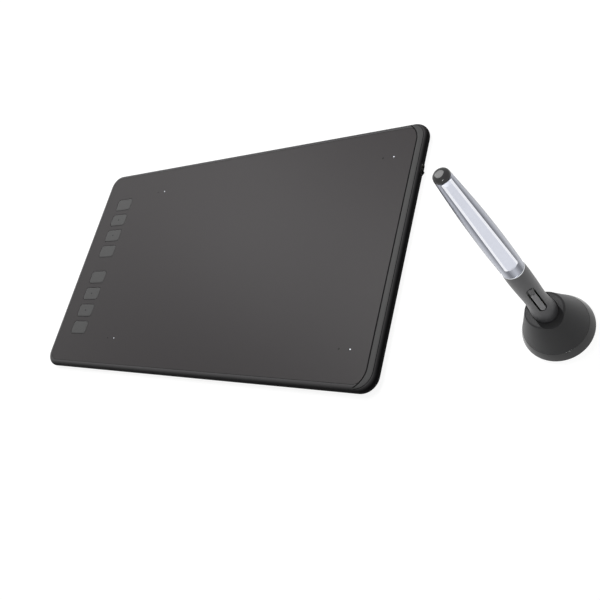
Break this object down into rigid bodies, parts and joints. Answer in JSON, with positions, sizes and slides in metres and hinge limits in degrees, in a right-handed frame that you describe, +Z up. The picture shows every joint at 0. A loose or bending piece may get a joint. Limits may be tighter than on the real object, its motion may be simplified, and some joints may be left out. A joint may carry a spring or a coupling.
{
  "type": "graphics tablet",
  "caption": "Thin pen tablet with a matt drawing sheet and a column of press keys, with its clip pen standing in a weighted cone stand.",
  "frame": {"origin": "on the desk, under the middle of the box around the tablet and the pen stand together", "axes": "+X runs from the key end of the tablet to the pen stand, +Y away from the user, +Z up from the desk"},
  "size_m": [0.499, 0.21, 0.1693],
  "materials": {
    "case": "moulded ABS with a fine spark-eroded texture",
    "sheet": "matt hard-coated polyester drawing film",
    "strip": "moulded ABS inlay, satin",
    "key": "moulded ABS key cap, fine texture",
    "adhesive": "transfer tape",
    "circuit_board": "glass-epoxy circuit board with solder mask",
    "shield_steel": "rolled silicon steel",
    "foam": "closed-cell foam",
    "rubber": "moulded silicone rubber",
    "chip": "epoxy chip package",
    "connector": "nylon connector housing",
    "dome_film": "clear polyester film with snap domes",
    "ribbon": "flat flexible ribbon",
    "lamp": "white lamp package",
    "light_pipe": "milky acrylic",
    "socket_metal": "nickel-plated steel",
    "screw": "blackened steel",
    "stand_soft": "soft-touch lacquer over ABS",
    "stand_gloss": "polished black ABS",
    "stand_base": "satin black ABS",
    "weight_steel": "turned steel",
    "nib": "acetal",
    "pen_soft": "soft-touch lacquer over ABS",
    "pen_silver": "silver lacquer",
    "clip_silver": "satin anodised aluminium",
    "pen_black": "polished black ABS",
    "trim_chrome": "plated ring",
    "ferrite": "sintered ferrite",
    "copper": "enamelled copper wire"
  },
  "bodies": {
    "tablet": {"rear_shell": "case", "top_cover": "case", "side_strip": "strip", "drawing_sheet": "sheet", "sheet_adhesive": "adhesive", "key_board": "circuit_board", "dome_sheet": "dome_film", "key_ribbon": "ribbon", "ribbon_sockets": "connector", "sensor_board": "circuit_board", "shield_plate": "shield_steel", "foam_strips": "foam", "corner_lamps": "lamp", "light_pipes": "light_pipe", "main_board": "circuit_board", "controller_chips": "chip", "board_link": "connector", "usb_shell": "socket_metal", "usb_tongue": "chip", "port_rim": "case", "rubber_feet": "rubber", "case_screws": "screw", "board_screws": "screw"},
    "key_1": {"key_1": "key"},
    "key_2": {"key_2": "key"},
    "key_3": {"key_3": "key"},
    "key_4": {"key_4": "key"},
    "key_5": {"key_5": "key"},
    "key_6": {"key_6": "key"},
    "key_7": {"key_7": "key"},
    "key_8": {"key_8": "key"},
    "stand_foot": {"stand_base": "stand_base", "stand_pad": "rubber", "nib_tray": "stand_base", "nib_puller": "weight_steel", "spare_nibs": "nib"},
    "stand_top": {"stand_cone": "stand_soft", "stand_band": "stand_gloss", "stand_weight": "weight_steel"},
    "pen": {"pen_nose": "pen_soft", "pen_grip": "pen_soft", "trim_ring": "trim_chrome", "pen_barrel": "pen_silver", "pen_cap": "pen_black", "pen_clip": "clip_silver", "ferrite_core": "ferrite", "pen_coil": "copper", "pressure_sensor": "connector", "pen_board": "circuit_board", "pen_switches": "chip", "rocker_cradle": "connector"},
    "side_switch": {"pen_rocker": "pen_soft"},
    "nib": {"pen_nib": "nib", "nib_holder": "connector"}
  },
  "joints": [
    {"name": "key_1_press", "type": "slide", "parent": "tablet", "child": "key_1", "axis": [0, 0, -1], "range_m": [0, 0.0005], "stiffness_N_per_m": 1500},
    {"name": "key_2_press", "type": "slide", "parent": "tablet", "child": "key_2", "axis": [0, 0, -1], "range_m": [0, 0.0005], "stiffness_N_per_m": 1500},
    {"name": "key_3_press", "type": "slide", "parent": "tablet", "child": "key_3", "axis": [0, 0, -1], "range_m": [0, 0.0005], "stiffness_N_per_m": 1500},
    {"name": "key_4_press", "type": "slide", "parent": "tablet", "child": "key_4", "axis": [0, 0, -1], "range_m": [0, 0.0005], "stiffness_N_per_m": 1500},
    {"name": "key_5_press", "type": "slide", "parent": "tablet", "child": "key_5", "axis": [0, 0, -1], "range_m": [0, 0.0005], "stiffness_N_per_m": 1500},
    {"name": "key_6_press", "type": "slide", "parent": "tablet", "child": "key_6", "axis": [0, 0, -1], "range_m": [0, 0.0005], "stiffness_N_per_m": 1500},
    {"name": "key_7_press", "type": "slide", "parent": "tablet", "child": "key_7", "axis": [0, 0, -1], "range_m": [0, 0.0005], "stiffness_N_per_m": 1500},
    {"name": "key_8_press", "type": "slide", "parent": "tablet", "child": "key_8", "axis": [0, 0, -1], "range_m": [0, 0.0005], "stiffness_N_per_m": 1500},
    {"name": "stand_place", "type": "slide", "parent": "tablet", "child": "stand_foot", "axis": [1, 0, 0], "range_m": [-0.05, 0.1]},
    {"name": "stand_twist", "type": "hinge", "parent": "stand_foot", "child": "stand_top", "pos_m": [0.22895, -0.055, 0.004], "axis": [0, 0, 1], "range_deg": [0, 30]},
    {"name": "pen_lift", "type": "slide", "parent": "stand_top", "child": "pen", "axis": [0, 0, 1], "range_m": [0, 0.06]},
    {"name": "side_switch_tilt", "type": "hinge", "parent": "pen", "child": "side_switch", "pos_m": [0.2312, -0.05768, 0.05405], "axis": [0.766, 0.6428, 0], "range_deg": [-2.5, 2.5], "stiffness_Nm_per_rad": 0.28},
    {"name": "nib_press", "type": "slide", "parent": "pen", "child": "nib", "axis": [0, 0, 1], "range_m": [0, 0.0005], "stiffness_N_per_m": 3000}
  ]
}
